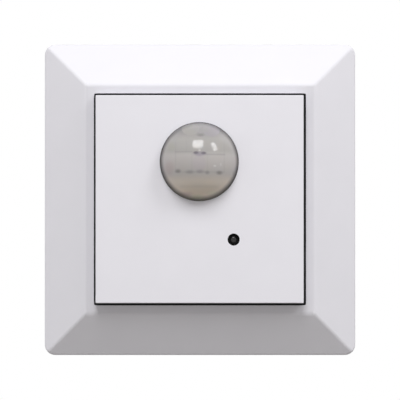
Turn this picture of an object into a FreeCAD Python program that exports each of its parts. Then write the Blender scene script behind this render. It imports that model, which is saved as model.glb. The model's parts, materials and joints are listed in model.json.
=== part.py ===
import FreeCAD, Part
import math
import os

# Motion detector for a flush wall box, with a bevelled cover frame.
# All sizes are in millimetres. The origin lies on the wall, midway between the box screws.
# The front faces -Y, +X is right and +Z is up. A depth is a distance out from the wall.

# Cover frame
frame_size = 82.5
frame_back = 0.2
frame_side_top = 2.2
frame_front = 8.3
frame_corner = 2.8
frame_mitre = 0.6
frame_rim = 2.3
frame_wall = 1.6
frame_crease_round = 2.2
frame_edge_round = 0.7
frame_lip_round = 0.15
collar_wall = 1.5
ledge_thick = 1.5
ledge_gap = 0.75
frame_foot = 3.0
frame_foot_inset = 1.2
frame_rib = 1.2
frame_rib_place = 15.0
frame_rib_lift = 1.0

# Centre plate and its place in the frame
plate_size = 55.0
plate_gap = 0.5
plate_proud = 3.5
plate_thick = 2.0
plate_corner = 0.2
plate_edge_round = 0.18
skirt_wall = 1.4
skirt_gap = 0.1
head_shift = -0.1
opening_corner = 0.3
least_corner = 0.2
cut_past = 1.0

# Lens
lens_x = -0.1
lens_edge = 10.35
lens_swell = 0.55
lens_wall = 0.7
lens_gap = 0.1
lens_flange_width = 1.05
lens_flange_thick = 1.2
groove_width = 0.25
groove_depth = 0.2
groove_planes = (6.9, 2.3, -2.6, -6.7)
groove_turns = (9.5, 21.0, 38.0, 58.0)
boss_wall = 1.0
boss_clear = 0.35
fit_gap = 0.05
retainer_thick = 1.2
retainer_width = 1.7
retainer_notch = 2.0

# Brightness sensor
sensor_x = 9.0
sensor_z = -10.7
sensor_hole = 1.6
sleeve_wall = 0.5
sleeve_recess = 0.5
sleeve_flange = 0.85
sleeve_flange_thick = 0.8
guide_recess = 0.7
guide_dome = 0.3
guide_collar = 0.5
guide_collar_thick = 0.8
photodiode_width = 3.0
photodiode_height = 2.0
photodiode_thick = 1.0

# Rear housing
housing_clear = 2.1
housing_corner = 2.0
housing_wall = 1.3
housing_lid_gap = 0.1
flange_thick = 1.1
flange_gap = 0.2
socket_step = 3.0
socket_corner = 7.5
socket_depth = 13.0
socket_edge_round = 1.0
seat_gap = 0.05
board_seat = 0.45
board_seat_width = 8.0
board_seat_reach = 2.0
pillar_radius = 2.0
pillar_inset = 5.5
pillar_length = 5.7
tunnel_wall = 1.0
tunnel_gap = 0.3
tick_depth = 0.2
tick_width = 0.3
tick_length = 0.8
tick_gap = 0.5
tick_count = 11

# Screws that join the plate to the housing, and pegs that hold the front board down
post_inset = 3.8
post_radius = 1.9
housing_screw_radius = 0.95
housing_screw_head = 1.6
housing_screw_head_thick = 1.1
housing_screw_thread = 4.5
housing_screw_cross = 0.5
screw_gap = 0.15
screw_seat = 1.2
peg_radius = 1.0
peg_inset = 3.5
peg_drop = 4.0
peg_spread = 8.0

# Boards
board_thick = 1.6
board_gap = 0.3
board_corner = 0.8
board_screw_radius = 0.9
board_screw_head = 1.7
board_screw_head_thick = 1.2
board_screw_length = 6.0
board_screw_cross = 0.6

# Infrared sensor
pir_flange = 4.6
pir_flange_thick = 0.5
pir_radius = 4.1
pir_height = 4.2
pir_shell = 0.25
pir_window_width = 5.0
pir_window_height = 3.8
pir_window_thick = 0.5
pir_element_size = 3.2
pir_element_thick = 0.6
pir_element_lift = 1.6
pir_post_size = 1.6
pir_lead_count = 3
pir_lead_circle = 2.54
pir_lead_radius = 0.23
pir_lead_below = 0.8
pir_lead_above = 0.6
hole_gap = 0.06

# Small parts on the front board
status_led_x = 6.4
status_led_width = 1.6
status_led_height = 0.8
status_led_thick = 0.6
micro_x = -9.0
micro_z = -3.0
micro_size = 7.0
micro_thick = 1.4
micro_corner = 0.35
micro_pin_count = 8
micro_pin_pitch = 0.8
micro_pin_width = 0.35
micro_pin_length = 1.0
pin_thick = 0.25
crystal_x = -9.0
crystal_z = 5.0
crystal_width = 5.0
crystal_height = 3.2
crystal_thick = 1.1
crystal_corner = 0.55

# Connection between the boards
header_edge = 1.25
header_pitch = 2.54
header_columns = 5
header_rows = 2
header_thick = 2.5
header_pin_radius = 0.3
header_pin_behind = 0.6
header_mate_gap = 0.2
header_pin_short = 0.8

# Small parts on the rear board
transceiver_x = -8.5
transceiver_z = 1.5
transceiver_width = 7.5
transceiver_height = 12.8
transceiver_thick = 2.3
transceiver_corner = 0.42
transceiver_pin_count = 10
transceiver_pin_pitch = 1.27
transceiver_pin_width = 0.42
transceiver_pin_length = 1.4
capacitor_aside = 5.2
capacitor_below = 7.2
capacitor_radius = 4.0
capacitor_height = 4.9
capacitor_base_size = 8.4
capacitor_base_thick = 0.8
capacitor_base_corner = 0.8
choke_x = 9.0
choke_z = -3.4
choke_size = 6.0
choke_corner = 1.0
choke_thick = 3.0
diode_aside = 5.2
diode_above = 4.6
diode_width = 4.3
diode_height = 2.6
diode_thick = 2.2
chip_width = 1.6
chip_height = 0.8
chip_thick = 0.5
chip_pitch = 2.2
front_row_x = -13.0
front_row_count = 5
front_resistor_rise = 2.5
front_capacitor_rise = 5.5
rear_capacitor_x = 2.2
rear_capacitor_z = -9.6
rear_capacitor_count = 3
rear_resistor_x = -2.0
rear_resistor_gap = 0.67
rear_resistor_count = 4

# Programming button, its switch and its light
button_x = 8.0
button_z = 6.0
button_radius = 1.7
button_hole_gap = 0.2
button_proud = 0.5
button_travel = 0.4
button_flange = 0.6
button_flange_thick = 0.7
button_stop_gap = 0.1
button_stem = 1.2
switch_size = 6.0
switch_thick = 3.4
plunger_radius = 1.0
plunger_length = 1.4
plunger_gap = 0.1
led_x = 13.6
led_z = 6.0
led_radius = 1.0
led_hole_gap = 0.15
led_recess = 0.3

# Trimmers
trimmer_places = ((-10.0, 6.0), (-1.5, 6.0))
trimmer_size = 6.6
trimmer_thick = 4.6
dial_turn = 270.0
dial_radius = 2.5
dial_gap = 0.2
dial_lift = 0.1
dial_recess = 0.3
dial_pin_radius = 1.0
dial_pin_length = 2.4
dial_pin_gap = 0.08
dial_slot_width = 0.8
dial_slot_length = 3.6
dial_slot_depth = 0.9
dial_pointer = 0.7

# Bus terminal
terminal_z = -11.5
terminal_width = 5.7
terminal_height = 10.0
terminal_length = 11.2
terminal_split = 0.1
terminal_corner = 0.4
terminal_board_gap = 0.3
bus_pin_radius = 0.5
bus_pin_length = 5.6
bus_pin_front = 0.6
contact_gap = 0.06
contact_wall = 0.4
contact_length = 5.4
wire_hole = 0.6
wire_hole_depth = 6.0
wire_hole_spread = 1.3
wire_hole_rise = 2.4

# Support ring, its springs and the box screws, which end up 60 apart
ring_margin = 5.5
ring_corner = 3.0
ring_thick = 1.2
ring_gap = 1.0
screw_clear = 0.2
slot_width = 3.6
slot_length = 8.0
round_hole = 2.1
box_screw_radius = 1.6
box_screw_neck = 1.4
box_screw_length = 15.0
box_screw_head = 3.0
box_screw_head_thick = 2.0
box_screw_head_round = 0.9
cross_width = 0.7
cross_length = 3.4
cross_depth = 1.1
spring_thick = 0.4
spring_width = 9.0
spring_edge = 1.1
spring_length = 9.0
spring_bump = 6.4
spring_gap = 0.2
spring_clear = 0.1
spring_pocket_gap = 0.3
spring_pocket_lift = 0.15
rivet_clear = 0.4
rivet_spread = 2.6
rivet_radius = 0.75
rivet_head = 1.3
rivet_head_thick = 0.4
rivet_sink = 0.5
rivet_sink_radius = 1.25

# Sizes and depths that follow from the values above
frame_half = frame_size / 2
opening_size = plate_size + 2 * plate_gap
collar_size = opening_size + 2 * collar_wall
rim_half = opening_size / 2 + frame_rim
housing_size = plate_size - 2 * (skirt_wall + housing_clear)
housing_room = housing_size - 2 * housing_wall
socket_size = housing_size - 2 * socket_step
socket_room = socket_size - 2 * housing_wall
ledge_back = ring_thick + seat_gap + frame_foot
ledge_front = ledge_back + ledge_thick
ledge_opening = housing_size + 2 * ledge_gap
plate_front = frame_front + plate_proud
plate_back = plate_front - plate_thick
flange_back = ledge_front + seat_gap
flange_front = flange_back + flange_thick
flange_size = opening_size - 2 * flange_gap
skirt_back = flange_front + skirt_gap
bevel_angle = math.atan2(frame_front - frame_side_top, frame_half - rim_half)

lens_radius = lens_edge + lens_swell
lens_hole = lens_edge + lens_gap
lens_flange = lens_edge + lens_flange_width
lens_centre = plate_front - math.sqrt(lens_radius ** 2 - lens_edge ** 2)
lens_inner = lens_radius - lens_wall
lens_bore = math.sqrt(lens_inner ** 2 - (plate_front - lens_centre) ** 2)
lens_flange_back = plate_back - lens_flange_thick
boss_radius = lens_flange + fit_gap
lens_z = housing_room / 2 - boss_clear - boss_wall - boss_radius
retainer_back = lens_flange_back - retainer_thick

sleeve_radius = sensor_hole - fit_gap
sleeve_bore = sleeve_radius - sleeve_wall
guide_radius = sleeve_bore - fit_gap
sleeve_front = plate_front - sleeve_recess
sleeve_back = plate_back - sleeve_flange_thick

shoulder = ring_thick + seat_gap
shoulder_floor = shoulder + housing_wall
housing_front = plate_back - housing_lid_gap
socket_back = -socket_depth
socket_floor = socket_back + housing_wall
front_board_back = shoulder_floor + board_seat
front_board_front = front_board_back + board_thick
rear_board_back = socket_floor + pillar_length
rear_board_depth = rear_board_back + board_thick
front_board_size = housing_room - 2 * board_gap
rear_board_size = socket_room - 2 * board_gap
post_back = shoulder + housing_screw_head_thick + screw_seat + fit_gap
housing_screw_seat = shoulder + housing_screw_head_thick + fit_gap

terminal_front = rear_board_back - terminal_board_gap
terminal_back = terminal_front - terminal_length
terminal_place = (terminal_width + terminal_split) / 2
contact_bore = bus_pin_radius + contact_gap
contact_radius = contact_bore + contact_wall
tunnel_width = 2 * terminal_width + terminal_split + 2 * tunnel_gap
tunnel_height = terminal_height + 2 * tunnel_gap

switch_back = rear_board_back - switch_thick
plunger_back = switch_back - button_travel - plunger_gap
trimmer_back = rear_board_back - trimmer_thick
button_flange_back = socket_floor + button_stop_gap
header_width = header_columns * header_pitch
header_height = header_rows * header_pitch
header_front = rear_board_depth + header_thick
header_z = socket_room / 2 - board_gap - header_edge - header_height / 2

post_place = housing_size / 2 - post_inset
peg_place = housing_size / 2 - peg_inset
pillar_place = socket_room / 2 - pillar_inset
corners = ((-1, -1), (-1, 1), (1, -1), (1, 1))
screw_places = [(sx * post_place, sz * post_place) for sx, sz in corners]
pillar_places = [(sx * pillar_place, sz * pillar_place) for sx, sz in corners]
side_pegs = [(side * peg_place, -peg_drop) for side in (-1, 1)]
lower_pegs = [(side * peg_spread, -peg_place) for side in (-1, 1)]
capacitor_x = pillar_place - capacitor_aside
capacitor_z = pillar_place - capacitor_below
diode_x = diode_aside - pillar_place
diode_z = diode_above - pillar_place
front_resistor_z = front_resistor_rise - peg_place
front_capacitor_z = front_capacitor_rise - peg_place
rear_resistor_z = header_z - (header_height + chip_height) / 2 - rear_resistor_gap

ring_opening = socket_size + 2 * ring_gap
rivet_place = housing_size / 2 + rivet_clear + rivet_head
spring_end = rivet_place + spring_edge
box_screw_place = spring_end + screw_clear + box_screw_head
ring_size = 2 * (box_screw_place + ring_margin)


def at(x, depth, z):
    return FreeCAD.Vector(x, -depth, z)


def outline(width, height, depth, x=0.0, z=0.0, corner=0.0):
    """Closed rectangle with round corners, parallel to the wall."""
    right = width / 2
    top = height / 2
    if corner <= 0:
        turns = ((-1, -1), (1, -1), (1, 1), (-1, 1))
        points = [at(x + sx * right, depth, z + sz * top) for sx, sz in turns]
        return Part.makePolygon(points + points[:1])
    edges = []
    starts = []
    quarters = ((1, -1, -90), (1, 1, 0), (-1, 1, 90), (-1, -1, 180))
    for sx, sz, angle in quarters:
        centre = (x + sx * (right - corner), z + sz * (top - corner))
        arc = []
        for turn in (angle, angle + 45, angle + 90):
            across = corner * math.cos(math.radians(turn))
            up = corner * math.sin(math.radians(turn))
            arc.append(at(centre[0] + across, depth, centre[1] + up))
        starts.append(arc)
    for index, arc in enumerate(starts):
        edges.append(Part.Arc(*arc).toShape())
        following = starts[(index + 1) % len(starts)][0]
        edges.append(Part.LineSegment(arc[2], following).toShape())
    return Part.Wire(edges)


def block(width, height, back, front, x=0.0, z=0.0, corner=0.0):
    """Upright block between two depths."""
    face = Part.Face(outline(width, height, back, x, z, corner))
    return face.extrude(FreeCAD.Vector(0, back - front, 0))


def rod(radius, back, front, x=0.0, z=0.0):
    """Round bar between two depths."""
    return Part.makeCylinder(radius, front - back, at(x, back, z), FreeCAD.Vector(0, -1, 0))


def upright_slot(width, length, back, front, x=0.0, z=0.0):
    """Round-ended bar between two depths."""
    reach = (length - width) / 2
    ends = [rod(width / 2, back, front, x, z + side * reach) for side in (-1, 1)]
    return joined([block(width, 2 * reach, back, front, x, z)] + ends)


def turned(profile, x=0.0, z=0.0):
    """Solid of revolution from (radius, depth) points, about an axis that points at the viewer."""
    points = [at(x + radius, depth, z) for radius, depth in profile]
    face = Part.Face(Part.makePolygon(points + points[:1]))
    return face.revolve(at(x, 0, z), FreeCAD.Vector(0, 1, 0), 360)


def joined(shapes):
    first, rest = shapes[0], shapes[1:]
    if not rest:
        return first
    return first.fuse(rest).removeSplitter()


def less(shape, tools):
    return shape.cut(tools)


def edges_at(shape, depth, within=None, reach=0.0):
    """Edges wholly at one depth, or up to a reach in front of it, and inside a square if given."""
    found = []
    for edge in shape.Edges:
        box = edge.BoundBox
        level = -box.YMax > depth - 1e-4 and -box.YMin < depth + reach + 1e-4
        far = max(abs(box.XMin), abs(box.XMax), abs(box.ZMin), abs(box.ZMax))
        if level and (within is None or far < within):
            found.append(edge)
    return found


def quarter_turns(shape, count=4):
    """Copies of a shape, turned about the axis through the origin."""
    copies = []
    for index in range(count):
        copy = shape.copy()
        copy.rotate(FreeCAD.Vector(0, 0, 0), FreeCAD.Vector(0, 1, 0), 360.0 * index / count)
        copies.append(copy)
    return copies


def cross_recess(depth, x=0.0, z=0.0, scale=1.0, from_back=False):
    """Cross in a screw head whose face is at the given depth, cut from the front or from the back."""
    long = cross_length * scale
    wide = cross_width * scale
    deep = cross_depth * scale
    back = depth if from_back else depth - deep
    front = back + deep
    return [block(long, wide, back, front, x, z), block(wide, long, back, front, x, z)]


def frame_form(inset):
    """Outer form of the frame, or the same form drawn in by a wall."""
    slope = math.tan(bevel_angle)
    rise = 1 / math.cos(bevel_angle)
    half = frame_half - inset
    top = frame_front - inset
    side_top = frame_side_top - inset * (rise - slope)
    rim = frame_half - (top - frame_side_top + inset * rise) / slope
    corner = max(frame_corner - inset, least_corner)
    mitre = max(frame_mitre - inset, least_corner)
    foot = block(2 * half, 2 * half, frame_back, side_top, corner=mitre)
    low = outline(2 * half, 2 * half, side_top, corner=mitre)
    high = outline(2 * rim, 2 * rim, top, corner=mitre)
    form = joined([foot, Part.makeLoft([low, high], True, True)])
    return form.common(block(2 * half, 2 * half, frame_back, top, corner=corner)), side_top


def cover_frame():
    form, side_top = frame_form(0.0)
    form = form.makeFillet(frame_crease_round, edges_at(form, frame_front))
    form = form.makeFillet(frame_edge_round, edges_at(form, side_top, reach=frame_corner))
    cavity = frame_form(frame_wall)[0]
    collar = block(collar_size, collar_size, ledge_back, frame_front - frame_wall / 2)
    strips = [block(frame_rib, frame_half, ring_thick + frame_rib_lift, frame_front,
                    side * frame_rib_place, frame_half / 2) for side in (-1, 1)]
    ribs = [rib.common(cavity) for strip in strips for rib in quarter_turns(strip)]
    shell = joined([less(form, [cavity]), collar] + ribs)
    window = block(opening_size, opening_size, ledge_front, frame_front + cut_past,
                   corner=opening_corner)
    throat = block(ledge_opening, ledge_opening, frame_back - cut_past, ledge_front + cut_past,
                   corner=opening_corner)
    shell = less(shell, [window, throat])
    foot_place = opening_size / 2 - frame_foot_inset
    feet = [block(frame_foot, frame_foot, ring_thick + seat_gap, ledge_back,
                  sx * foot_place, sz * foot_place) for sx, sz in corners]
    shell = joined([shell] + feet)
    lip = edges_at(shell, frame_front, within=opening_size / 2 + plate_gap)
    return shell.makeFillet(frame_lip_round, lip)


def center_plate():
    plate = block(plate_size, plate_size, skirt_back, plate_front, corner=plate_corner)
    plate = plate.makeFillet(plate_edge_round, edges_at(plate, plate_front))
    room = plate_size - 2 * skirt_wall
    plate = less(plate, [block(room, room, skirt_back, plate_back)])
    boss = rod(boss_radius + boss_wall, retainer_back, plate_back, lens_x, lens_z)
    posts = [rod(post_radius, post_back, plate_back, x, z) for x, z in screw_places]
    pegs = [rod(peg_radius, front_board_front + seat_gap, plate_back, x, z)
            for x, z in side_pegs + lower_pegs]
    plate = joined([plate, boss] + posts + pegs)
    holes = [rod(boss_radius, retainer_back - cut_past, plate_back, lens_x, lens_z),
             rod(lens_hole, plate_back - cut_past, plate_front + cut_past, lens_x, lens_z),
             rod(sensor_hole, plate_back - cut_past, plate_front + cut_past, sensor_x, sensor_z)]
    bore = housing_screw_radius + fit_gap
    bore_front = housing_screw_seat + screw_seat + housing_screw_thread
    for x, z in screw_places:
        holes.append(rod(bore, post_back - cut_past, bore_front, x, z))
    return less(plate, holes)


def lens_dome():
    span = 2 * lens_radius
    centre = at(lens_x, lens_centre, lens_z)
    outside = Part.makeSphere(lens_radius, centre)
    inside = Part.makeSphere(lens_inner, centre)
    front_room = rod(span, plate_front, plate_front + span, lens_x, lens_z)
    dome = joined([outside.common(front_room),
                   rod(lens_edge, plate_back, plate_front, lens_x, lens_z),
                   rod(lens_flange, lens_flange_back, plate_back, lens_x, lens_z)])
    bore = rod(lens_bore, lens_flange_back - cut_past, plate_front, lens_x, lens_z)
    dome = less(dome, [inside.common(front_room), bore])
    reach = Part.makeSphere(lens_inner + groove_depth, centre).common(front_room)
    slabs = [block(span, groove_width, plate_front, plate_front + span, lens_x, lens_z + rise)
             for rise in groove_planes]
    height = groove_planes[0] - groove_planes[-1]
    middle = (groove_planes[0] + groove_planes[-1]) / 2
    for turn in [side * angle for side in (-1, 1) for angle in groove_turns]:
        slab = block(groove_width, height, lens_centre, lens_centre + span, lens_x, lens_z + middle)
        slab.rotate(centre, FreeCAD.Vector(0, 0, 1), turn)
        slabs.append(slab)
    return less(dome, [slab.common(reach) for slab in slabs])


def lens_retainer():
    outer = lens_flange
    inner = outer - retainer_width
    retainer = less(rod(outer, retainer_back, lens_flange_back, lens_x, lens_z),
                    [rod(inner, retainer_back, lens_flange_back, lens_x, lens_z)])
    notch = block(2 * outer, retainer_notch, retainer_back, retainer_back + retainer_thick / 2,
                  lens_x, lens_z)
    return less(retainer, [notch])


def sensor_sleeve():
    flange = sensor_hole + sleeve_flange
    profile = [(sleeve_bore, sleeve_back), (flange, sleeve_back), (flange, plate_back),
               (sleeve_radius, plate_back), (sleeve_radius, sleeve_front), (sleeve_bore, sleeve_front)]
    return turned(profile, sensor_x, sensor_z)


def light_guide():
    tip = plate_front - guide_recess
    edge = tip - guide_dome
    foot = front_board_front + photodiode_thick + seat_gap
    collar = guide_radius + guide_collar
    rod_part = rod(guide_radius, foot, edge, sensor_x, sensor_z)
    collar_part = rod(collar, sleeve_back - guide_collar_thick, sleeve_back, sensor_x, sensor_z)
    ball = (guide_radius ** 2 + guide_dome ** 2) / (2 * guide_dome)
    tip_part = Part.makeSphere(ball, at(sensor_x, tip - ball, sensor_z))
    tip_part = tip_part.common(rod(guide_radius, edge, tip + cut_past, sensor_x, sensor_z))
    return joined([rod_part, collar_part, tip_part])


def photodiode():
    front = front_board_front + photodiode_thick
    return block(photodiode_width, photodiode_height, front_board_front, front, sensor_x, sensor_z)


def tick_marks():
    """Scale marks round both dials, sunk into the housing's back."""
    marks = []
    rise = dial_radius + dial_gap + tick_gap + tick_length / 2
    for x, z in trimmer_places:
        for index in range(tick_count):
            mark = block(tick_width, tick_length, socket_back, socket_back + tick_depth, x, z + rise)
            angle = dial_turn * (index / (tick_count - 1) - 0.5)
            mark.rotate(at(x, 0, z), FreeCAD.Vector(0, 1, 0), angle)
            marks.append(mark)
    return marks


def rear_housing():
    socket = block(socket_size, socket_size, socket_back, shoulder_floor, corner=socket_corner)
    socket = socket.makeFillet(socket_edge_round, edges_at(socket, socket_back))
    upper = block(housing_size, housing_size, shoulder, housing_front, corner=housing_corner)
    rooms = [block(housing_room, housing_room, shoulder_floor, housing_front,
                   corner=housing_corner - housing_wall),
             block(socket_room, socket_room, socket_floor, shoulder_floor,
                   corner=socket_corner - housing_wall)]
    shell = less(joined([socket, upper]), rooms)
    boss_front = post_back - fit_gap
    bosses = [rod(post_radius + screw_gap, shoulder, boss_front, x, z) for x, z in screw_places]
    seat_place = housing_room / 2 - board_seat_reach / 2
    seat = block(board_seat_width, board_seat_reach, shoulder_floor - housing_wall / 2, front_board_back,
                 0, seat_place)
    pillars = [rod(pillar_radius, socket_floor, rear_board_back, x, z) for x, z in pillar_places]
    wall_width, wall_height = tunnel_width + 2 * tunnel_wall, tunnel_height + 2 * tunnel_wall
    tunnel = block(wall_width, wall_height, socket_floor, terminal_front, 0, terminal_z)
    flange = less(block(flange_size, flange_size, flange_back, flange_front, corner=opening_corner),
                  [block(housing_room, housing_room, flange_back, flange_front,
                         corner=housing_corner - housing_wall)])
    shell = joined([shell, tunnel, flange] + bosses + quarter_turns(seat) + pillars)
    pocket_reach = socket_step + housing_wall
    pocket = block(spring_width + 2 * spring_pocket_gap, pocket_reach, shoulder - housing_wall,
                   ring_thick + spring_thick + spring_pocket_lift, 0, (socket_size + pocket_reach) / 2)
    shell = less(shell, quarter_turns(pocket))
    hole_back = socket_back - cut_past
    holes = [block(tunnel_width, tunnel_height, hole_back, terminal_front + cut_past, 0, terminal_z),
             rod(button_radius + button_hole_gap, hole_back, socket_floor, button_x, button_z),
             rod(led_radius + led_hole_gap, hole_back, socket_floor, led_x, led_z)]
    for x, z in trimmer_places:
        holes.append(rod(dial_radius + dial_gap, hole_back, socket_floor, x, z))
    for x, z in screw_places:
        holes.append(rod(housing_screw_head + screw_gap, shoulder - cut_past, housing_screw_seat, x, z))
        holes.append(rod(housing_screw_radius + screw_gap, shoulder, boss_front, x, z))
    for x, z in pillar_places:
        depth = rear_board_depth - board_screw_length - screw_gap
        holes.append(rod(board_screw_radius + fit_gap, depth, rear_board_back, x, z))
    return less(shell, holes + tick_marks())


def housing_screw(x, z):
    back = housing_screw_seat - housing_screw_head_thick
    tip = housing_screw_seat + screw_seat + housing_screw_thread - screw_gap
    head = rod(housing_screw_head, back, housing_screw_seat, x, z)
    shank = rod(housing_screw_radius, housing_screw_seat, tip, x, z)
    return less(joined([head, shank]), cross_recess(back, x, z, housing_screw_cross, from_back=True))


def sensor_pcb():
    half = front_board_size / 2
    board = block(2 * half, 2 * half, front_board_back, front_board_front, corner=board_corner)
    notch = 2 * (half - post_place + post_radius + board_gap)
    holes = [block(notch, notch, front_board_back, front_board_front, sx * half, sz * half)
             for sx, sz in corners]
    for x, z in pir_lead_places():
        holes.append(rod(pir_lead_radius + hole_gap, front_board_back, front_board_front, x, z))
    return less(board, holes)


def pir_lead_places():
    places = []
    for index in range(pir_lead_count):
        angle = math.tau * (index / pir_lead_count - 0.25)
        places.append((lens_x + pir_lead_circle * math.cos(angle),
                       lens_z + pir_lead_circle * math.sin(angle)))
    return places


def pir_base():
    back = front_board_front
    step = back + pir_flange_thick
    top = step + pir_flange_thick
    plug = pir_radius - pir_shell - fit_gap
    profile = [(0, back), (pir_flange, back), (pir_flange, step), (plug, step), (plug, top), (0, top)]
    base = turned(profile, lens_x, lens_z)
    holes = [rod(pir_lead_radius + hole_gap, back, top, x, z) for x, z in pir_lead_places()]
    lift = block(pir_post_size, pir_post_size, top, pir_element_back(), lens_x, lens_z)
    return less(joined([base, lift]), holes)


def pir_element_back():
    return front_board_front + 2 * pir_flange_thick + pir_element_lift


def pir_can():
    back = front_board_front + pir_flange_thick
    front = front_board_front + pir_height
    profile = [(pir_radius - pir_shell, back), (pir_radius, back), (pir_radius, front), (0, front),
               (0, front - pir_shell), (pir_radius - pir_shell, front - pir_shell)]
    can = turned(profile, lens_x, lens_z)
    window = block(pir_window_width, pir_window_height, front - pir_shell, front, lens_x, lens_z, pir_shell)
    return less(can, [window])


def pir_window():
    front = front_board_front + pir_height - pir_shell
    border = 2 * pir_shell
    return block(pir_window_width + border, pir_window_height + border, front - pir_window_thick, front,
                 lens_x, lens_z)


def pir_element():
    back = pir_element_back()
    return block(pir_element_size, pir_element_size, back, back + pir_element_thick, lens_x, lens_z)


def pir_leads():
    back = front_board_back - pir_lead_below
    front = front_board_front + 2 * pir_flange_thick + pir_lead_above
    return [rod(pir_lead_radius, back, front, x, z) for x, z in pir_lead_places()]


def status_led():
    front = front_board_front + status_led_thick
    return block(status_led_width, status_led_height, front_board_front, front,
                 lens_x + status_led_x, lens_z)


def microcontroller():
    return block(micro_size, micro_size, front_board_back - micro_thick, front_board_back,
                 micro_x, micro_z, micro_corner)


def microcontroller_pins():
    pins = []
    back = front_board_back - pin_thick
    reach = (micro_size + micro_pin_length) / 2
    for index in range(micro_pin_count):
        place = (index - (micro_pin_count - 1) / 2) * micro_pin_pitch
        for side in (-1, 1):
            pins.append(block(micro_pin_length, micro_pin_width, back, front_board_back,
                              micro_x + side * reach, micro_z + place))
            pins.append(block(micro_pin_width, micro_pin_length, back, front_board_back,
                              micro_x + place, micro_z + side * reach))
    return pins


def crystal():
    return block(crystal_width, crystal_height, front_board_back - crystal_thick, front_board_back,
                 crystal_x, crystal_z, crystal_corner)


def header_places():
    places = []
    for column in range(header_columns):
        for row in range(header_rows):
            places.append(((column - (header_columns - 1) / 2) * header_pitch,
                           header_z + (row - (header_rows - 1) / 2) * header_pitch))
    return places


def header_holes(back, front):
    return [rod(header_pin_radius + hole_gap, back, front, x, z) for x, z in header_places()]


def board_header():
    body = block(header_width, header_height, rear_board_depth, header_front, 0, header_z)
    return less(body, header_holes(rear_board_depth, header_front))


def board_socket():
    back = header_front + header_mate_gap
    body = block(header_width, header_height, back, front_board_back, 0, header_z)
    return less(body, header_holes(back, front_board_back - header_pin_short / 2))


def header_pins():
    back = rear_board_back - header_pin_behind
    front = front_board_back - header_pin_short
    return [rod(header_pin_radius, back, front, x, z) for x, z in header_places()]


def bus_pcb():
    board = block(rear_board_size, rear_board_size, rear_board_back, rear_board_depth,
                  corner=socket_corner - housing_wall - board_gap)
    holes = header_holes(rear_board_back, rear_board_depth)
    for x, z in pillar_places:
        holes.append(rod(board_screw_radius + screw_gap, rear_board_back, rear_board_depth, x, z))
    for side in (-1, 1):
        holes.append(rod(bus_pin_radius + hole_gap, rear_board_back, rear_board_depth,
                         side * terminal_place, terminal_z))
    return less(board, holes)


def board_screw(x, z):
    head = rod(board_screw_head, rear_board_depth, rear_board_depth + board_screw_head_thick, x, z)
    shank = rod(board_screw_radius, rear_board_depth - board_screw_length, rear_board_depth, x, z)
    front = rear_board_depth + board_screw_head_thick
    return less(joined([head, shank]), cross_recess(front, x, z, board_screw_cross))


def bus_transceiver():
    front = rear_board_depth + transceiver_thick
    return block(transceiver_width, transceiver_height, rear_board_depth, front,
                 transceiver_x, transceiver_z, transceiver_corner)


def transceiver_pins():
    pins = []
    front = rear_board_depth + pin_thick
    reach = (transceiver_width + transceiver_pin_length) / 2
    for index in range(transceiver_pin_count):
        place = (index - (transceiver_pin_count - 1) / 2) * transceiver_pin_pitch
        for side in (-1, 1):
            pins.append(block(transceiver_pin_length, transceiver_pin_width, rear_board_depth, front,
                              transceiver_x + side * reach, transceiver_z + place))
    return pins


def storage_capacitor():
    back = rear_board_depth + capacitor_base_thick
    return rod(capacitor_radius, back, back + capacitor_height, capacitor_x, capacitor_z)


def capacitor_base():
    front = rear_board_depth + capacitor_base_thick
    return block(capacitor_base_size, capacitor_base_size, rear_board_depth, front,
                 capacitor_x, capacitor_z, capacitor_base_corner)


def choke():
    return block(choke_size, choke_size, rear_board_depth, rear_board_depth + choke_thick,
                 choke_x, choke_z, choke_corner)


def surge_diode():
    front = rear_board_depth + diode_thick
    return block(diode_width, diode_height, rear_board_depth, front, diode_x, diode_z)


def chip_row(start, z, count, back):
    return [block(chip_width, chip_height, back, back + chip_thick, start + index * chip_pitch, z)
            for index in range(count)]


def chip_capacitors():
    front_row = chip_row(front_row_x, front_capacitor_z, front_row_count, front_board_front)
    rear_row = chip_row(rear_capacitor_x, rear_capacitor_z, rear_capacitor_count, rear_board_depth)
    return front_row + rear_row


def chip_resistors():
    front_row = chip_row(front_row_x, front_resistor_z, front_row_count, front_board_front)
    rear_row = chip_row(rear_resistor_x, rear_resistor_z, rear_resistor_count, rear_board_depth)
    return front_row + rear_row


def bus_pins():
    back = rear_board_back - bus_pin_length
    return [rod(bus_pin_radius, back, rear_board_depth + bus_pin_front, side * terminal_place, terminal_z)
            for side in (-1, 1)]


def programming_switch():
    body = block(switch_size, switch_size, switch_back, rear_board_back, button_x, button_z)
    bore_front = plunger_back + plunger_length + button_travel + plunger_gap
    return less(body, [rod(plunger_radius + plunger_gap, switch_back, bore_front, button_x, button_z)])


def switch_plunger():
    return rod(plunger_radius, plunger_back, plunger_back + plunger_length, button_x, button_z)


def programming_button():
    back = socket_back - button_proud
    flange_front = button_flange_back + button_flange_thick
    flange = button_radius + button_flange
    return turned([(0, back), (button_radius, back), (button_radius, button_flange_back),
                   (flange, button_flange_back), (flange, flange_front), (button_stem, flange_front),
                   (button_stem, plunger_back), (0, plunger_back)], button_x, button_z)


def programming_led():
    tip = socket_back + led_recess
    stem = rod(led_radius, tip + led_radius, rear_board_back, led_x, led_z)
    return joined([stem, Part.makeSphere(led_radius, at(led_x, tip + led_radius, led_z))])


def trimmer_bodies():
    bodies = []
    for x, z in trimmer_places:
        body = block(trimmer_size, trimmer_size, trimmer_back, rear_board_back, x, z)
        bore_front = trimmer_back + dial_pin_length
        bodies.append(less(body, [rod(dial_pin_radius + dial_pin_gap, trimmer_back, bore_front, x, z)]))
    return bodies


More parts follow.
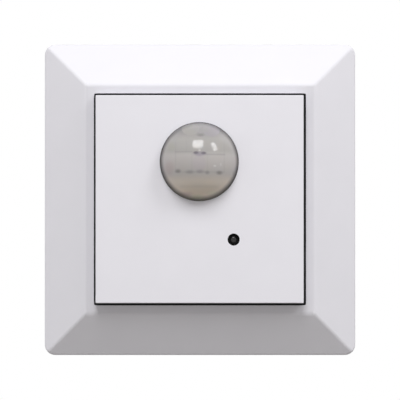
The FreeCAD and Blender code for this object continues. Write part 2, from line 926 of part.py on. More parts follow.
def dial(x, z):
    back = socket_back + dial_recess
    front = trimmer_back - dial_lift
    pin_front = trimmer_back + dial_pin_length - dial_lift
    disc = joined([rod(dial_radius, back, front, x, z), rod(dial_pin_radius, front, pin_front, x, z)])
    slot = block(dial_slot_width, dial_slot_length, back, back + dial_slot_depth, x, z)
    pointer = block(dial_pointer, dial_pointer, back, back + dial_slot_depth, x, z + dial_radius)
    return less(disc, [slot, pointer])


def terminal_half(side):
    x = side * terminal_place
    body = block(terminal_width, terminal_height, terminal_back, terminal_front,
                 x, terminal_z, terminal_corner)
    contact_back = terminal_front - contact_length - fit_gap
    holes = [rod(contact_radius + fit_gap, contact_back, terminal_front, x, terminal_z)]
    wire_end = terminal_back + wire_hole_depth - fit_gap
    for sx, sz in corners:
        holes.append(rod(wire_hole, terminal_back, wire_end,
                         x + sx * wire_hole_spread, terminal_z + sz * wire_hole_rise))
    return less(body, holes)


def terminal_contacts():
    contacts = []
    back = terminal_front - contact_length
    for side in (-1, 1):
        x = side * terminal_place
        tube = rod(contact_radius, back, terminal_front, x, terminal_z)
        contacts.append(less(tube, [rod(contact_bore, back, terminal_front, x, terminal_z)]))
    return contacts


def rivet_holes(back, front):
    radius = rivet_radius + fit_gap
    pair = [rod(radius, back, front, side * rivet_spread, rivet_place) for side in (-1, 1)]
    return [hole for strip in pair for hole in quarter_turns(strip)]


def rivet_sinks(gap):
    """Countersinks in the ring's back for the rivets' closed ends."""
    sinks = []
    profile = [(0, 0), (rivet_sink_radius + gap, 0), (rivet_radius + gap, rivet_sink), (0, rivet_sink)]
    for side in (-1, 1):
        sinks += quarter_turns(turned(profile, side * rivet_spread, rivet_place))
    return sinks


def support_ring():
    plate = block(ring_size, ring_size, 0, ring_thick, corner=ring_corner)
    opening = block(ring_opening, ring_opening, 0, ring_thick, corner=socket_corner + ring_gap)
    slots = [upright_slot(slot_width, slot_length, 0, ring_thick, side * box_screw_place)
             for side in (-1, 1)]
    rounds = [rod(round_hole, 0, ring_thick, 0, side * box_screw_place) for side in (-1, 1)]
    return less(plate, [opening] + slots + rounds + rivet_holes(0, ring_thick) + rivet_sinks(fit_gap))


def strip_wall(points, thick):
    """Outline of a bent strip, from its middle line."""
    sides = ([], [])
    for index, point in enumerate(points):
        before = points[max(index - 1, 0)]
        after = points[min(index + 1, len(points) - 1)]
        into = (point[0] - before[0], point[1] - before[1])
        out = (after[0] - point[0], after[1] - point[1])
        normals = []
        for run in (into, out):
            size = math.hypot(*run)
            if size > 0:
                normals.append((-run[1] / size, run[0] / size))
        mean = [sum(parts) / len(normals) for parts in zip(*normals)]
        size = math.hypot(*mean)
        stretch = thick / 2 / size ** 2
        sides[0].append((point[0] + mean[0] * stretch, point[1] + mean[1] * stretch))
        sides[1].append((point[0] - mean[0] * stretch, point[1] - mean[1] * stretch))
    return sides[0] + sides[1][::-1]


def retaining_springs():
    level = ring_thick + spring_thick / 2
    bend = ring_opening / 2 - spring_clear - spring_thick / 2
    grip = socket_size / 2 + spring_gap + spring_thick / 2
    line = [(spring_end, level), (bend, level), (grip, -spring_bump), (bend, -spring_length)]
    points = [at(-spring_width / 2, depth, up) for up, depth in strip_wall(line, spring_thick)]
    face = Part.Face(Part.makePolygon(points + points[:1]))
    spring = face.extrude(FreeCAD.Vector(spring_width, 0, 0))
    holes = rivet_holes(ring_thick, ring_thick + spring_thick)
    return [less(copy, holes) for copy in quarter_turns(spring)]


def spring_rivets():
    rivets = []
    seat = ring_thick + spring_thick
    top = seat + rivet_head_thick
    profile = [(0, 0), (rivet_sink_radius, 0), (rivet_radius, rivet_sink), (rivet_radius, seat),
               (rivet_head, seat), (rivet_head, top), (0, top)]
    for side in (-1, 1):
        rivets += quarter_turns(turned(profile, side * rivet_spread, rivet_place))
    return rivets


def mounting_screw(side):
    x = side * box_screw_place
    front = ring_thick + box_screw_head_thick
    head = rod(box_screw_head, ring_thick, front, x)
    head = head.makeFillet(box_screw_head_round, edges_at(head, front))
    neck = rod(box_screw_neck, 0, ring_thick, x)
    shank = rod(box_screw_radius, -box_screw_length, 0, x)
    return less(joined([head, neck, shank]), cross_recess(front, x))


def moved_with_head(shapes):
    """Places pieces of the detector head, which sits a little off the frame's middle."""
    for shape in shapes:
        shape.translate(FreeCAD.Vector(head_shift, 0, 0))
    return shapes


def save(name, shapes):
    shapes = shapes if isinstance(shapes, list) else [shapes]
    solids = [solid for shape in shapes for solid in shape.Solids]
    shape = solids[0] if len(solids) == 1 else Part.makeCompound(solids)
    faulty = [solid for solid in solids if not solid.isValid() or solid.Volume <= 0]
    shape.exportStep(os.path.join("parts", name + ".step"))
    print(name, len(solids), round(sum(solid.Volume for solid in solids), 2), "FAULTY" if faulty else "")


def main():
    os.makedirs("parts", exist_ok=True)
    wall_side = {
        "support_ring": support_ring(),
        "retaining_springs": retaining_springs(),
        "spring_rivets": spring_rivets(),
        "mounting_screws": [mounting_screw(side) for side in (-1, 1)],
        "cover_frame": cover_frame(),
    }
    for name, shapes in wall_side.items():
        save(name, shapes)
    head = {
        "center_plate": center_plate(),
        "lens_dome": lens_dome(),
        "lens_retainer": lens_retainer(),
        "sensor_sleeve": sensor_sleeve(),
        "light_guide": light_guide(),
        "photodiode": photodiode(),
        "sensor_pcb": sensor_pcb(),
        "pir_can": pir_can(),
        "pir_base": pir_base(),
        "pir_window": pir_window(),
        "pir_element": pir_element(),
        "pir_leads": pir_leads(),
        "status_led": status_led(),
        "microcontroller": microcontroller(),
        "microcontroller_pins": microcontroller_pins(),
        "crystal": crystal(),
        "board_socket": board_socket(),
        "board_header": board_header(),
        "header_pins": header_pins(),
        "bus_pcb": bus_pcb(),
        "board_screws": [board_screw(x, z) for x, z in pillar_places],
        "bus_transceiver": bus_transceiver(),
        "transceiver_pins": transceiver_pins(),
        "storage_capacitor": storage_capacitor(),
        "capacitor_base": capacitor_base(),
        "choke": choke(),
        "surge_diode": surge_diode(),
        "chip_capacitors": chip_capacitors(),
        "chip_resistors": chip_resistors(),
        "bus_pins": bus_pins(),
        "programming_switch": programming_switch(),
        "switch_plunger": switch_plunger(),
        "programming_button": programming_button(),
        "programming_led": programming_led(),
        "trimmer_bodies": trimmer_bodies(),
        "sensitivity_dial": dial(*trimmer_places[0]),
        "hold_time_dial": dial(*trimmer_places[1]),
        "rear_housing": rear_housing(),
        "housing_screws": [housing_screw(x, z) for x, z in screw_places],
        "terminal_red": terminal_half(-1),
        "terminal_grey": terminal_half(1),
        "terminal_contacts": terminal_contacts(),
    }
    for name, shapes in head.items():
        save(name, moved_with_head(shapes if isinstance(shapes, list) else [shapes]))


main()
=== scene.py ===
import json
import math

import bmesh
import bpy
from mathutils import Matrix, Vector


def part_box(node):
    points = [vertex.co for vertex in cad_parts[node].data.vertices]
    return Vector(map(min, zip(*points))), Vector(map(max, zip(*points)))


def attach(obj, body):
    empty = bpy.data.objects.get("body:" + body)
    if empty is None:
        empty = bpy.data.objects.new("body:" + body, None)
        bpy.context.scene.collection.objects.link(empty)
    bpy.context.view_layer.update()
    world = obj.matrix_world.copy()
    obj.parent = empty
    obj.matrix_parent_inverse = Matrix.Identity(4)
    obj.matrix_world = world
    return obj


# A motion detector in a bevelled cover frame. Places are in metres, in the frame of the CAD:
# the front faces -Y, +X is right and +Z is up. Sizes in materials and of the thread are in
# millimetres, and tones are linear.
mm = 0.001
white = (1.0, 1.0, 1.0, 1.0)
black = (0.0, 0.0, 0.0)

# Camera, with its elevation in degrees and its lens in millimetres
camera_distance = 1.7875
camera_elevation = -1.05
camera_lens = 605.0
camera_aim = (0.0, -0.0015, -0.00005)
camera_near = 0.1
camera_far = 50.0

# Light, where a radiance of 1 shows as white. It comes from all round, with an extra for each
# side: axis, where on it the extra starts, where it is full, and how much it adds
ambient = 0.57
side_extras = (
    (2, 0.0, 1.0, -0.54),
    (2, 0.0, -1.0, -0.55),
    (1, -0.5, -1.0, -0.16),
    (0, 0.0, -1.0, 0.49),
    (0, 0.0, 1.0, 0.25),
)
lamp_distance = 0.9
key_radiance = 11.2
key_direction = (-0.06, -0.64, 0.768)
key_size = (0.38, 0.4)
side_radiance = 10.2
side_direction = (0.61, -0.48, 0.63)
side_size = (0.21, 0.33)

# Floor: its place, its tone and glow for the camera, and its tone for the light that it returns
floor_level = -0.25
floor_forward = 0.95
floor_size = 1.6
floor_seen = (0.35, 0.35, 0.35)
floor_glow = 0.65
floor_lit = (0.405, 0.37, 0.33)

# Range in which a noise mostly lies
noise_low = 0.3
noise_high = 0.7

# Moulded plastic: size of its flow marks, share of grain and flow in its tone, and variation of
# its roughness
flow_size = 9.0
grain_share = 0.3
flow_share = 0.7
plastic_variation = 0.05

# Painted shade on the flat rim of the cover frame: its edge from the middle, softness of that
# edge, and strength
frame_rim_edge = 30.2
frame_rim_softness = 0.4
frame_rim_painted_shade = 0.09

# Painted shade in the gaps between the white pieces: reach, openness at full and at no darkness,
# and tone
gap_reach = 1.2
gap_closed = 0.5
gap_open = 0.7
gap_samples = 8
gap_shade_tone = (0.012, 0.012, 0.014)

# Metal: its scratches, its clouds and their tone, the patches with a tint and where in their
# noise they begin and are full, and how much smoother and rougher it gets
scratch_size = 0.35
scratch_detail = 5.0
scratch_roughness = 0.65
cloud_size = 4.0
cloud_tone = 0.82
patch_size = 7.0
patch_from = 0.45
patch_full = 0.7
tint_share = 0.5
metal_smoother = 0.09
metal_rougher = 0.12

# Circuit board: its tracks, its vias with their core and edge in their own pattern, and tones
track_pattern = {"Scale": 1.0, "Mortar Size": 0.16, "Mortar Smooth": 0.25, "Brick Width": 5.4,
                 "Row Height": 1.15}
via_density = 0.34
via_core = 0.07
via_edge = 0.1
via_metal = 0.9
via_tone = (0.62, 0.6, 0.52)
mask_tone = (0.012, 0.085, 0.035)
track_tone = (0.03, 0.17, 0.06)
weave_size = 0.2
weave_share = 0.2
board_gloss_size = 3.0
board_smoothest = 0.2
board_roughest = 0.34
board_relief = 0.03

# Epoxy of the chips, and cast resin
filler_size = 0.12
filler_relief = 0.008
epoxy_dark = (0.012, 0.012, 0.013)
epoxy_light = (0.035, 0.035, 0.037)
epoxy_smoothest = 0.48
epoxy_roughest = 0.66
resin_streak = 1.2
resin_streak_tone = 0.85
resin_variation = 0.08
resin_wave = 0.4
resin_relief = 0.002

# Painted shade: a dark rim round the lens, from its axis. It widens and takes its low tone
# downwards, and it fades upwards
lens_rim_start = 9.2
lens_rim_end = 10.5
lens_rim_strength = 0.93
lens_rim_shade_tone = (0.026, 0.018, 0.022)
lens_rim_low_shade_tone = (0.102, 0.1, 0.08)
lens_rim_low_from = -4.0
lens_rim_low_full = -9.5
lens_rim_widening = 0.3
lens_rim_widens_from = 2.0
lens_rim_widest = -8.0
lens_rim_top_share = 0.57
lens_rim_fades_from = 3.0
lens_rim_faded = 9.5

# Milky plastic of the lens: scattering, gloss and the waves of its skin
lens_ior = 1.405
lens_scatter = 1.5
lens_scatter_radius = (1.0, 0.9, 0.8)
lens_roughest = 0.03
lens_gloss_size = 1.5
lens_wave = 2.5
lens_relief = 0.0003

# Thread of the box screws
screw_head_radius = 3.0
thread_pitch = 0.8
thread_start = 0.8
thread_end_gap = 0.5
thread_root = 1.56
thread_crest = 1.68
thread_foot = 0.3
thread_flat = 0.06
thread_steps = 28
run_out_turns = 0.6

# Looks by material slot
plastics = {
    # The frame's white is set darker than the plate's: painted shade that keeps its lit top side
    # from going plain white
    "frame_white": dict(color=(0.758, 0.75, 0.797), rough=0.4, specular=0.15,
                        gap_shade=gap_shade_tone, rim=frame_rim_edge),
    "plate_white": dict(color=(0.797, 0.789, 0.839), rough=0.42, specular=0.15,
                        gap_shade=gap_shade_tone),
    "black_plastic": dict(color=(0.004, 0.004, 0.004), rough=0.5, ior=1.12),
    "housing_grey": dict(color=(0.05, 0.052, 0.056), rough=0.5, grain=0.3, depth=0.012,
                         marbling=0.12),
    "button_grey": dict(color=(0.2, 0.21, 0.22), rough=0.45, grain=0.2, depth=0.006,
                        marbling=0.08),
    "dial_cream": dict(color=(0.72, 0.66, 0.48), rough=0.42, grain=0.2, depth=0.004,
                       marbling=0.05),
    "trimmer_blue": dict(color=(0.03, 0.12, 0.4), rough=0.4, grain=0.2, depth=0.004,
                         marbling=0.06),
    "terminal_red": dict(color=(0.5, 0.02, 0.02), rough=0.36, grain=0.22, depth=0.006,
                         marbling=0.08),
    "terminal_grey": dict(color=(0.11, 0.115, 0.12), rough=0.38, grain=0.22, depth=0.006,
                          marbling=0.08),
    "ceramic_white": dict(color=(0.7, 0.69, 0.64), rough=0.6, grain=0.1, depth=0.004),
    "chip_tan": dict(color=(0.3, 0.2, 0.12), rough=0.45, grain=0.15, marbling=0.1),
}
metals = {
    "window_silicon": dict(color=(0.22, 0.22, 0.25), rough=0.14, scratch=0.001),
    "ring_steel": dict(color=(0.66, 0.67, 0.68), rough=0.3, scale=(0.06, 1.0, 1.0),
                       tint=(0.7, 0.66, 0.5)),
    "spring_steel": dict(color=(0.6, 0.6, 0.6), rough=0.24, scale=(1.0, 0.08, 0.08)),
    "screw_steel": dict(color=(0.68, 0.67, 0.62), rough=0.28, tint=(0.66, 0.6, 0.42)),
    "can_metal": dict(color=(0.72, 0.72, 0.72), rough=0.2, scale=(0.3, 1.0, 0.3)),
    "aluminium_can": dict(color=(0.8, 0.8, 0.81), rough=0.22, scale=(1.0, 0.1, 1.0)),
    "pin_tin": dict(color=(0.74, 0.74, 0.72), rough=0.3),
    "pin_brass": dict(color=(0.78, 0.6, 0.28), rough=0.26),
}
resins = {
    "smoked_plastic": dict(color=(0.03, 0.03, 0.03), rough=0.06, clear=0.3, ior=1.42),
    "led_clear": dict(color=(0.85, 0.3, 0.25), rough=0.08, clear=0.8),
}

# Tones of the lens, in millimetres from its axis: the tone at its top, then the zones below it
# with their upper edge, the softness of that edge, and tone. They get lighter downwards: painted
# light that evens out the shading of the dome, which is lit from above
lens_top_tone = (0.272, 0.264, 0.268)
lens_zones = (
    (7.2, 1.6, (0.405, 0.39, 0.38)),
    (2.2, 0.9, (0.487, 0.464, 0.455)),
    (-4.3, 1.5, (0.69, 0.62, 0.55)),
    (-7.0, 1.2, (0.7, 0.608, 0.51)),
)
# Lines between facets: left, right, low, high, softness, tone and strength
lens_lines = (
    (-6.4, -1.7, 2.35, 2.55, 0.25, (0.2, 0.19, 0.21), 0.35),
    (1.6, 6.9, 1.6, 1.9, 0.3, (0.22, 0.21, 0.23), 0.4),
    (-6.4, 6.7, -2.95, -2.75, 0.3, (0.3, 0.29, 0.29), 0.3),
    (-5.0, 5.0, -6.8, -6.5, 0.5, (0.45, 0.4, 0.34), 0.35),
    (-6.35, -6.15, -3.0, 5.0, 0.25, (0.25, 0.24, 0.25), 0.2),
    (-2.05, -1.85, -3.2, 2.3, 0.25, (0.28, 0.26, 0.3), 0.16),
    (2.05, 2.25, -3.2, 1.8, 0.25, (0.3, 0.3, 0.28), 0.16),
    (6.5, 6.7, -3.2, 5.0, 0.25, (0.28, 0.27, 0.26), 0.2),
    (-3.5, -3.35, 2.4, 5.5, 0.25, (0.25, 0.24, 0.27), 0.14),
    (3.0, 3.15, 2.4, 5.8, 0.25, (0.25, 0.24, 0.27), 0.14),
)
# Spots: a painted reflection of light along the top, painted glints, painted images of the
# sensor seen through the facets, and patches of tone. Each has a centre, half size, core, tone
# and strength
lens_spots = (
    ((-2.3, 8.7), (2.5, 2.0), 0.86, (0.375, 0.365, 0.35), 0.85),
    ((3.2, 8.4), (2.4, 2.1), 0.86, (0.365, 0.347, 0.37), 0.85),
    ((0.5, 9.3), (2.6, 2.0), 0.83, (0.36, 0.35, 0.352), 0.8),
    ((0.35, 6.9), (1.4, 0.6), 0.2, (0.2, 0.19, 0.195), 0.5),
    ((-7.9, -1.7), (1.9, 2.6), 0.3, (0.45, 0.385, 0.385), 0.7),
    ((-7.4, 4.0), (1.4, 1.9), 0.3, (0.4, 0.39, 0.34), 0.5),
    ((0.0, -0.5), (2.0, 2.4), 0.7, (0.475, 0.435, 0.465), 0.5),
    ((-0.85, 2.2), (1.0, 0.55), 0.25, (0.1, 0.08, 0.11), 0.75),
    ((1.15, 2.1), (1.0, 0.55), 0.25, (0.1, 0.08, 0.11), 0.75),
    ((0.1, 1.9), (2.4, 0.9), 0.2, (0.27, 0.24, 0.3), 0.55),
    ((0.08, 2.85), (0.5, 0.35), 0.2, (0.8, 0.78, 0.76), 0.5),
    ((-5.6, -2.6), (1.15, 0.85), 0.1, (0.17, 0.16, 0.155), 0.6),
    ((-2.5, -2.85), (1.7, 0.8), 0.1, (0.24, 0.23, 0.23), 0.5),
    ((0.2, -2.75), (1.7, 0.8), 0.1, (0.24, 0.225, 0.24), 0.5),
    ((2.1, -3.0), (1.0, 0.8), 0.1, (0.22, 0.21, 0.21), 0.5),
    ((5.3, -3.05), (1.3, 0.85), 0.1, (0.17, 0.16, 0.155), 0.6),
    ((4.1, -1.25), (0.6, 0.42), 0.1, (0.8, 0.8, 0.78), 0.4),
    ((5.7, -0.9), (0.3, 0.7), 0.1, (0.75, 0.75, 0.76), 0.3),
    ((-3.5, -8.8), (3.0, 1.2), 0.1, (0.42, 0.33, 0.32), 0.6),
    ((-0.5, -9.4), (2.6, 1.1), 0.1, (0.46, 0.48, 0.34), 0.6),
    ((3.8, -8.4), (2.6, 1.0), 0.1, (0.62, 0.62, 0.48), 0.5),
)

shader_inputs = {
    "color": "Base Color", "rough": "Roughness", "metal": "Metallic", "normal": "Normal",
    "ior": "IOR", "clear": "Transmission Weight", "specular": "Specular IOR Level",
    "scatter": "Subsurface Weight", "scatter_scale": "Subsurface Scale",
    "scatter_radius": "Subsurface Radius",
}

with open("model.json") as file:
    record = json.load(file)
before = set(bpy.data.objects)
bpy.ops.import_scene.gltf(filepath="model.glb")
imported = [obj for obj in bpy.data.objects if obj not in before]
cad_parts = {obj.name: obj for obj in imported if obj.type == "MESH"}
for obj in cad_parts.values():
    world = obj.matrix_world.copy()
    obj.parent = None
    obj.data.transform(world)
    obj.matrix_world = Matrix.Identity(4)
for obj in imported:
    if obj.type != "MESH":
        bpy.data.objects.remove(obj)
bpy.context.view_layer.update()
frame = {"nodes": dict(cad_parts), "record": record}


class Nodes:
    """Short calls for the nodes of a material or of the world."""

    def __init__(self, owner):
        owner.use_nodes = True
        self.tree = owner.node_tree

    def node(self, kind, **settings):
        made = self.tree.nodes.new("ShaderNode" + kind)
        for key, value in settings.items():
            setattr(made, key, value)
        return made

    def put(self, value, socket):
        """Links a socket, or sets a plain value."""
        if isinstance(value, bpy.types.NodeSocket):
            self.tree.links.new(value, socket)
        else:
            socket.default_value = value

    def join(self, kind, *inputs, **settings):
        """First output of a new node, which takes its inputs in order."""
        made = self.node(kind, **settings)
        for value, socket in zip(inputs, made.inputs):
            self.put(value, socket)
        return made.outputs[0]

    def math(self, operation, first, second=0.0):
        return self.join("Math", first, second, operation=operation)

    def spread(self, value, low, high, start=0.0, end=1.0, smooth=False):
        """Value carried from start and end to low and high."""
        return self.join("MapRange", value, start, end, low, high,
                         interpolation_type="SMOOTHSTEP" if smooth else "LINEAR")

    def axes(self, vector):
        parts = self.node("SeparateXYZ")
        self.put(vector, parts.inputs[0])
        return parts.outputs

    def length(self, first, second):
        """Length of the line with these two legs."""
        return self.math("SQRT", self.math("ADD", self.math("MULTIPLY", first, first),
                                           self.math("MULTIPLY", second, second)))


class Finish(Nodes):
    """One material, with short calls for its patterns."""

    def __init__(self, name):
        self.material = bpy.data.materials.new(name)
        super().__init__(self.material)
        self.shader = self.tree.nodes["Principled BSDF"]

    def place(self, centre=(0.0, 0.0, 0.0), scale=(1.0, 1.0, 1.0)):
        """Place on the object in millimetres, from a centre and scaled along the axes."""
        factors = [share / mm for share in scale]
        mapping = self.node("Mapping", vector_type="POINT")
        self.put(self.node("TexCoord").outputs["Object"], mapping.inputs["Vector"])
        mapping.inputs["Scale"].default_value = factors
        mapping.inputs["Location"].default_value = [-c * k for c, k in zip(centre, factors)]
        return mapping.outputs[0]

    def noise(self, size, detail=2.0, vector=None, roughness=0.5):
        made = self.node("TexNoise")
        self.put(vector or self.place(), made.inputs["Vector"])
        made.inputs["Scale"].default_value = 1.0 / size
        made.inputs["Detail"].default_value = detail
        made.inputs["Roughness"].default_value = roughness
        return made.outputs["Fac"]

    def mix(self, share, first, second):
        """Colour between two colours."""
        made = self.node("Mix", data_type="RGBA")
        self.put(share, made.inputs[0])
        for value, socket in ((first, made.inputs[6]), (second, made.inputs[7])):
            self.put((*value, 1.0) if isinstance(value, tuple) else value, socket)
        return made.outputs[2]

    def relief(self, height, depth):
        """Bumps of the given depth in millimetres."""
        made = self.node("Bump")
        made.inputs["Strength"].default_value = 1.0
        made.inputs["Distance"].default_value = depth * mm
        self.put(height, made.inputs["Height"])
        return made.outputs[0]

    def set(self, **values):
        """Sets inputs of the shader, and returns the material."""
        for key, value in values.items():
            self.put(value, self.shader.inputs[shader_inputs[key]])
        return self.material


def moulded(name, color, rough, grain=0.25, depth=0.003, marbling=0.03, ior=1.5, gap_shade=None,
            rim=None, specular=0.5):
    """Injection-moulded plastic: fine spark grain, faint flow marks, uneven gloss, and painted
    shade in gaps and on a rim.
    """
    finish = Finish(name)
    fine = finish.noise(grain, detail=3.0)
    flow = finish.noise(flow_size, detail=3.0)
    darker = tuple(channel * (1 - marbling) for channel in color)
    lighter = tuple(min(channel * (1 + marbling), 1.0) for channel in color)
    shade = finish.mix(finish.math("ADD", finish.math("MULTIPLY", fine, grain_share),
                                   finish.math("MULTIPLY", flow, flow_share)), darker, lighter)
    # Painted shade: the flat rim of the frame round the plate is made darker
    if rim is not None:
        axes = finish.axes(finish.place())
        reach = finish.math("MAXIMUM", finish.math("ABSOLUTE", axes[0]),
                            finish.math("ABSOLUTE", axes[2]))
        inside = finish.spread(reach, 1.0, 0.0, start=rim - frame_rim_softness,
                               end=rim + frame_rim_softness, smooth=True)
        shade = finish.mix(finish.math("MULTIPLY", inside, frame_rim_painted_shade), shade, black)
    # Painted shade: darker where other surfaces close in
    if gap_shade is not None:
        openness = finish.node("AmbientOcclusion", samples=gap_samples)
        openness.inputs["Distance"].default_value = gap_reach * mm
        closed = finish.spread(openness.outputs["AO"], 1.0, 0.0, start=gap_closed, end=gap_open)
        shade = finish.mix(closed, shade, gap_shade)
    return finish.set(
        color=shade, ior=ior, specular=specular,
        rough=finish.spread(finish.math("ADD", flow, fine), rough - plastic_variation,
                            rough + plastic_variation, start=2 * noise_low,
                            end=2 * noise_high),
        normal=finish.relief(fine, depth))


def metal(name, color, rough, scale=(1.0, 1.0, 1.0), scratch=0.004, tint=None):
    """Rolled, drawn or plated metal, with scratches along the axes that have a low scale."""
    finish = Finish(name)
    streaks = finish.noise(scratch_size, scratch_detail, finish.place(scale=scale),
                           scratch_roughness)
    clouds = finish.noise(cloud_size, detail=3.0)
    dull = tuple(channel * cloud_tone for channel in color)
    base = finish.mix(clouds, dull, color)
    if tint is not None:
        patches = finish.spread(finish.noise(patch_size), 0.0, tint_share, start=patch_from,
                                end=patch_full)
        base = finish.mix(patches, base, tint)
    return finish.set(color=base, metal=1.0, normal=finish.relief(streaks, scratch),
                      rough=finish.spread(streaks, rough - metal_smoother, rough + metal_rougher,
                                          start=noise_low, end=noise_high))


def board_green():
    """Solder mask over copper tracks, with plated vias and a fibre weave."""
    finish = Finish("board_green")
    axes = finish.axes(finish.place())
    flat = finish.join("CombineXYZ", axes[0], axes[2])
    tracks = finish.node("TexBrick", offset=0.37, squash=1.6, squash_frequency=3)
    finish.put(flat, tracks.inputs["Vector"])
    for key, value in track_pattern.items():
        tracks.inputs[key].default_value = value
    vias = finish.node("TexVoronoi", voronoi_dimensions="2D")
    finish.put(flat, vias.inputs["Vector"])
    vias.inputs["Scale"].default_value = via_density
    plated = finish.spread(vias.outputs["Distance"], 1.0, 0.0, start=via_core, end=via_edge)
    mask = finish.mix(tracks.outputs["Fac"], mask_tone, track_tone)
    weave = finish.math("MULTIPLY", finish.noise(weave_size), weave_share)
    lift = finish.math("ADD", tracks.outputs["Fac"], weave)
    return finish.set(color=finish.mix(plated, mask, via_tone),
                      metal=finish.math("MULTIPLY", plated, via_metal),
                      rough=finish.spread(finish.noise(board_gloss_size), board_smoothest,
                                          board_roughest),
                      normal=finish.relief(lift, board_relief))


def chip_black():
    """Moulded epoxy with its fine filler."""
    finish = Finish("chip_black")
    filler = finish.noise(filler_size, detail=4.0)
    return finish.set(color=finish.mix(filler, epoxy_dark, epoxy_light),
                      rough=finish.spread(filler, epoxy_smoothest, epoxy_roughest),
                      normal=finish.relief(filler, filler_relief))


def resin(name, color, rough, clear, ior=1.52):
    """Cast resin, with a few streaks in it."""
    finish = Finish(name)
    streaks = finish.noise(resin_streak)
    dim = tuple(channel * resin_streak_tone for channel in color)
    return finish.set(color=finish.mix(streaks, dim, color), ior=ior, clear=clear,
                      rough=finish.spread(streaks, rough, rough + resin_variation),
                      normal=finish.relief(finish.noise(resin_wave), resin_relief))


def soft_box(finish, value, low, high, soft):
    """1 between two numbers, falling softly to 0 outside them."""
    rise = finish.spread(value, 0.0, 1.0, low - soft, low + soft, smooth=True)
    fall = finish.spread(value, 1.0, 0.0, high - soft, high + soft, smooth=True)
    return finish.math("MULTIPLY", rise, fall)


def blob(finish, across, up, centre, size, core):
    """Oval spot: 1 up to its core, 0 from its edge on."""
    right = finish.math("DIVIDE", finish.math("SUBTRACT", across, centre[0]), size[0])
    high = finish.math("DIVIDE", finish.math("SUBTRACT", up, centre[1]), size[1])
    return finish.spread(finish.length(right, high), 1.0, 0.0, core, 1.0, smooth=True)


def lens_milky():
    """Milky polyethylene with facets moulded into its inside, seen through the wall. Painted
    light, shade, glints and reflections lie in its colour.
    """
    lowest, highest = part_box("lens_dome")
    axis = (lowest + highest) / 2
    finish = Finish("lens_milky")
    axes = finish.axes(finish.place(centre=(axis[0], 0.0, axis[2])))
    across, up = axes[0], axes[2]
    color = lens_top_tone
    # Painted light: the zones get lighter downwards
    for edge, soft, tone in lens_zones:
        below = finish.spread(up, 1.0, 0.0, edge - soft, edge + soft, smooth=True)
        color = finish.mix(below, color, tone)
    for left, right, low, high, soft, tone, share in lens_lines:
        line = finish.math("MULTIPLY", soft_box(finish, across, left, right, soft),
                           soft_box(finish, up, low, high, soft))
        color = finish.mix(finish.math("MULTIPLY", line, share), color, tone)
    # Painted reflection, glints and images of the sensor, and patches of tone
    for centre, size, core, tone, share in lens_spots:
        spot = finish.math("MULTIPLY", blob(finish, across, up, centre, size, core), share)
        color = finish.mix(spot, color, tone)
    # Painted shade: a dark rim round the lens
    wider = finish.spread(up, 0.0, lens_rim_widening, lens_rim_widens_from, lens_rim_widest,
                          smooth=True)
    rim = finish.spread(finish.math("ADD", finish.length(across, up), wider), 0.0,
                        lens_rim_strength, lens_rim_start, lens_rim_end, smooth=True)
    rim = finish.math("MULTIPLY", rim, finish.spread(up, 1.0, lens_rim_top_share,
                                                     lens_rim_fades_from, lens_rim_faded,
                                                     smooth=True))
    lowness = finish.spread(up, 1.0, 0.0, lens_rim_low_full, lens_rim_low_from)
    color = finish.mix(rim, color, finish.mix(lowness, lens_rim_shade_tone, lens_rim_low_shade_tone))
    return finish.set(color=color, ior=lens_ior,
                      rough=finish.spread(finish.noise(lens_gloss_size), 0.0, lens_roughest),
                      scatter=1.0, scatter_scale=lens_scatter * mm,
                      scatter_radius=lens_scatter_radius,
                      normal=finish.relief(finish.noise(lens_wave, detail=1.0), lens_relief))


def make_finishes():
    """Gives each CAD node its material, and returns the materials by slot."""
    made = {name: moulded(name, **look) for name, look in plastics.items()}
    made.update((name, metal(name, **look)) for name, look in metals.items())
    made.update((name, resin(name, **look)) for name, look in resins.items())
    made.update(chip_black=chip_black(), board_green=board_green(), lens_milky=lens_milky())
    for part in frame["record"]["subparts"]:
        mesh = frame["nodes"][part["node"]].data
        mesh.materials.clear()
        mesh.materials.append(made[part["material_slot"]])
    return made


def screw_thread(mesh, x, start, end):
    """Adds a rolled ridge round a shank that points at the wall, fading out at both ends."""
    turns = (end - start) / thread_pitch
    count = int(turns * thread_steps)
    rings = []
    for index in range(count + 1):
        turn = index / thread_steps
        fade = min(turn, turns - turn, run_out_turns) / run_out_turns
        crest = thread_root + (thread_crest - thread_root) * max(fade, 0.0)
        angle = 2 * math.pi * turn
        middle = start + turn * thread_pitch
        ring = []
        for shift, radius in ((-thread_foot, thread_root), (-thread_flat, crest),
                              (thread_flat, crest), (thread_foot, thread_root)):
            ring.append(mesh.verts.new(((x + radius * math.cos(angle)) * mm,
                                        (middle + shift) * mm, radius * math.sin(angle) * mm)))
        rings.append(ring)
    for first, second in zip(rings, rings[1:]):
        for index in range(len(first)):
            after = (index + 1) % len(first)
            mesh.faces.new((first[index], first[after], second[after], second[index]))
    mesh.faces.new(rings[0])
    mesh.faces.new(rings[-1][::-1])


def make_screw_threads(finish):
    """Threads on the shanks of both box screws."""
    low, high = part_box("mounting_screws")
    place = high[0] / mm - screw_head_radius
    end = high[1] / mm - thread_end_gap
    built = bmesh.new()
    for x in (-place, place):
        screw_thread(built, x, thread_start, end)
    bmesh.ops.recalc_face_normals(built, faces=built.faces)
    mesh = bpy.data.meshes.new("screw_threads")
    built.to_mesh(mesh)
    built.free()
    threads = bpy.data.objects.new("screw_threads", mesh)
    bpy.context.scene.collection.objects.link(threads)
    mesh.materials.append(finish)
    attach(threads, "support")


def branch_for_sight(nodes, seen, lit):
    """Mixes two shaders: one for the camera and for mirrored and clear rays, one for others."""
    rays = nodes.node("LightPath").outputs
    sight = nodes.math("MAXIMUM", rays["Is Camera Ray"], rays["Is Glossy Ray"])
    sight = nodes.math("MAXIMUM", sight, rays["Is Transmission Ray"])
    return nodes.join("MixShader", sight, lit, seen)


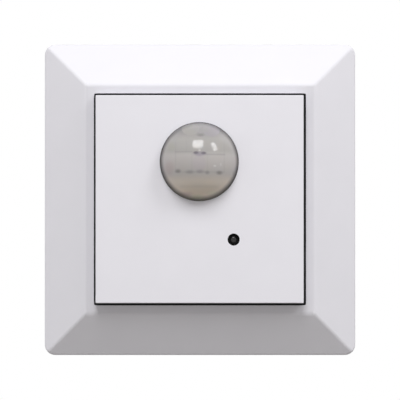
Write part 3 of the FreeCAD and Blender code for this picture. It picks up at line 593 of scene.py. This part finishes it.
def make_world():
    """White all round for the eye, and a soft light that differs from side to side."""
    world = bpy.data.worlds.new("surroundings")
    bpy.context.scene.world = world
    nodes = Nodes(world)
    nodes.tree.nodes.clear()
    direction = nodes.axes(nodes.node("TexCoord").outputs["Generated"])
    strength = ambient
    for axis, start, end, extra in side_extras:
        step = nodes.spread(direction[axis], 0.0, extra, start, end)
        strength = nodes.math("ADD", strength, step)
    lit = nodes.join("Background", white, strength)
    seen = nodes.join("Background", white)
    out = nodes.node("OutputWorld")
    nodes.put(branch_for_sight(nodes, seen, lit), out.inputs["Surface"])


def floor_paper():
    """Pale paper that keeps the shadow of the object, and is clear from below."""
    material = bpy.data.materials.new("floor_paper")
    nodes = Nodes(material)
    nodes.tree.nodes.clear()
    glow = nodes.node("Emission")
    nodes.put(floor_glow, glow.inputs["Strength"])
    shaded = nodes.join("BsdfDiffuse", (*floor_seen, 1.0))
    seen = nodes.join("AddShader", shaded, glow.outputs[0])
    lit = nodes.join("BsdfDiffuse", (*floor_lit, 1.0))
    below = nodes.node("NewGeometry").outputs["Backfacing"]
    clear = nodes.join("BsdfTransparent")
    out = nodes.node("OutputMaterial")
    nodes.put(nodes.join("MixShader", below, branch_for_sight(nodes, seen, lit), clear),
              out.inputs["Surface"])
    return material


def make_floor():
    """Floor under the wall piece."""
    half = floor_size / 2
    mesh = bpy.data.meshes.new("floor")
    corners = [(-half, -half, 0.0), (half, -half, 0.0), (half, half, 0.0), (-half, half, 0.0)]
    mesh.from_pydata(corners, [], [(0, 1, 2, 3)])
    mesh.materials.append(floor_paper())
    floor = bpy.data.objects.new("floor", mesh)
    floor.location = (0.0, -floor_forward, floor_level)
    bpy.context.scene.collection.objects.link(floor)


def make_lamp(name, direction, size, radiance):
    """Soft box that looks at the object from a direction."""
    data = bpy.data.lights.new(name, "AREA")
    data.shape = "RECTANGLE"
    data.size, data.size_y = size
    data.energy = radiance * math.pi * size[0] * size[1]
    lamp = bpy.data.objects.new(name, data)
    toward = Vector(direction).normalized()
    lamp.location = toward * lamp_distance
    lamp.rotation_mode = "QUATERNION"
    lamp.rotation_quaternion = toward.to_track_quat("Z", "Y")
    bpy.context.scene.collection.objects.link(lamp)


def make_camera():
    data = bpy.data.cameras.new("camera")
    data.lens = camera_lens
    data.clip_start = camera_near
    data.clip_end = camera_far
    camera = bpy.data.objects.new("camera", data)
    tilt = math.radians(camera_elevation)
    back = Vector((0.0, -math.cos(tilt), math.sin(tilt)))
    camera.location = Vector(camera_aim) + back * camera_distance
    camera.rotation_mode = "QUATERNION"
    camera.rotation_quaternion = back.to_track_quat("Z", "Y")
    bpy.context.scene.collection.objects.link(camera)
    bpy.context.scene.camera = camera


finishes = make_finishes()
make_screw_threads(finishes["screw_steel"])
make_world()
make_floor()
make_lamp("key_lamp", key_direction, key_size, key_radiance)
make_lamp("side_lamp", side_direction, side_size, side_radiance)
make_camera()
bpy.context.scene.view_settings.view_transform = "Standard"
